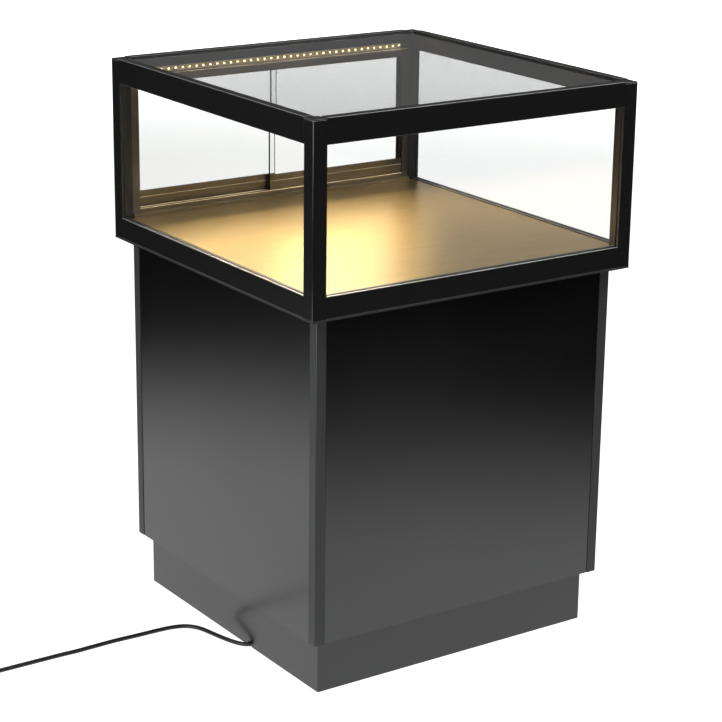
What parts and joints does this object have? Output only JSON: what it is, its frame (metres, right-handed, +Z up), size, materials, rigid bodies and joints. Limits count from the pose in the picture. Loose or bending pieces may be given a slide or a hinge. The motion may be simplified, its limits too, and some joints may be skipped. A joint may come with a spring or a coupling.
{
  "type": "pedestal display case",
  "caption": "Square glazed showcase with a lit deck and sliding rear glass doors, on a black laminated pedestal with a recessed kick and a rear storage door.",
  "frame": {"origin": "middle of the plan at floor level, under the kick boards", "axes": "+Z up; the front, a fixed pane, faces -Y; the doors are at +Y; +X is to the right seen from the front"},
  "size_m": [1.0655, 0.61, 0.927],
  "materials": {
    "frame_black": "satin black anodised extrusion",
    "clear_glass": "clear float glass with polished edges",
    "black_seal": "matte black glazing seal",
    "gold_deck": "board faced with brushed metallic gold laminate",
    "bare_aluminium": "satin bare extrusion",
    "warm_led": "warm white emitters on a white strip",
    "black_cable": "satin black flexible sheath",
    "black_plastic": "moulded black plastic",
    "roller_nylon": "black nylon",
    "black_laminate": "semi-gloss black laminate on board",
    "grey_trim": "satin dark grey extrusion",
    "plated_steel": "nickel-plated steel"
  },
  "bodies": {
    "case": {"bottom_plate": "frame_black", "front_left_post": "frame_black", "front_right_post": "frame_black", "rear_right_post": "frame_black", "rear_left_post": "frame_black", "post_caps": "frame_black", "front_top_rail": "frame_black", "right_top_rail": "frame_black", "rear_top_rail": "frame_black", "left_top_rail": "frame_black", "front_bottom_rail": "frame_black", "right_bottom_rail": "frame_black", "rear_bottom_rail": "frame_black", "left_bottom_rail": "frame_black", "top_glass": "clear_glass", "front_glass": "clear_glass", "right_glass": "clear_glass", "left_glass": "clear_glass", "pane_gaskets": "black_seal", "top_gasket": "black_seal", "deck_panel": "gold_deck", "upper_track": "bare_aluminium", "lower_track": "bare_aluminium", "left_jamb": "bare_aluminium", "right_jamb": "bare_aluminium", "led_carrier": "bare_aluminium", "led_chips": "warm_led", "led_lead": "black_cable", "led_driver": "black_plastic", "mains_lead": "black_cable", "base_top_panel": "black_laminate", "base_floor_panel": "black_laminate", "base_front_panel": "black_laminate", "base_right_panel": "black_laminate", "base_left_panel": "black_laminate", "front_left_trim": "grey_trim", "front_right_trim": "grey_trim", "rear_right_trim": "grey_trim", "rear_left_trim": "grey_trim", "front_kick": "black_laminate", "right_kick": "black_laminate", "rear_kick": "black_laminate", "left_kick": "black_laminate", "case_bolts": "plated_steel", "hinge_frame_leaves": "plated_steel", "power_cord": "black_cable", "cord_coil": "black_cable", "plug": "black_plastic"},
    "left_door": {"left_door_glass": "clear_glass", "left_door_shoe": "bare_aluminium"},
    "left_door_outer_wheel": {"left_door_outer_roller": "roller_nylon"},
    "left_door_inner_wheel": {"left_door_inner_roller": "roller_nylon"},
    "right_door": {"right_door_glass": "clear_glass", "right_door_shoe": "bare_aluminium"},
    "right_door_outer_wheel": {"right_door_outer_roller": "roller_nylon"},
    "right_door_inner_wheel": {"right_door_inner_roller": "roller_nylon"},
    "storage_door": {"storage_door": "black_laminate", "hinge_door_leaves": "plated_steel", "lock_barrel": "plated_steel"},
    "lock_cam": {"lock_cam": "plated_steel"}
  },
  "joints": [
    {"name": "left_door_slide", "type": "slide", "parent": "case", "child": "left_door", "axis": [1, 0, 0], "range_m": [0, 0.255]},
    {"name": "right_door_slide", "type": "slide", "parent": "case", "child": "right_door", "axis": [-1, 0, 0], "range_m": [0, 0.255]},
    {"name": "left_door_outer_roller_spin", "type": "hinge", "parent": "left_door", "child": "left_door_outer_wheel", "pos_m": [-0.2355, 0.2972, 0.6726], "axis": [0, 1, 0], "range_deg": [0, 2436]},
    {"name": "left_door_inner_roller_spin", "type": "hinge", "parent": "left_door", "child": "left_door_inner_wheel", "pos_m": [-0.022, 0.2972, 0.6726], "axis": [0, 1, 0], "range_deg": [0, 2436]},
    {"name": "right_door_outer_roller_spin", "type": "hinge", "parent": "right_door", "child": "right_door_outer_wheel", "pos_m": [0.2355, 0.2866, 0.6726], "axis": [0, -1, 0], "range_deg": [0, 2436]},
    {"name": "right_door_inner_roller_spin", "type": "hinge", "parent": "right_door", "child": "right_door_inner_wheel", "pos_m": [0.022, 0.2866, 0.6726], "axis": [0, -1, 0], "range_deg": [0, 2436]},
    {"name": "storage_door_hinge", "type": "hinge", "parent": "case", "child": "storage_door", "pos_m": [0.266, 0.286, 0.355], "axis": [0, 0, -1], "range_deg": [0, 105]},
    {"name": "lock_turn", "type": "hinge", "parent": "storage_door", "child": "lock_cam", "pos_m": [-0.24, 0.274, 0.4], "axis": [0, 1, 0], "range_deg": [0, 90]}
  ],
  "couplings": [
    {"joint": "left_door_outer_roller_spin", "follows": "left_door_slide", "rad_per_m": 166.67},
    {"joint": "left_door_inner_roller_spin", "follows": "left_door_slide", "rad_per_m": 166.67},
    {"joint": "right_door_outer_roller_spin", "follows": "right_door_slide", "rad_per_m": 166.67},
    {"joint": "right_door_inner_roller_spin", "follows": "right_door_slide", "rad_per_m": 166.67}
  ]
}
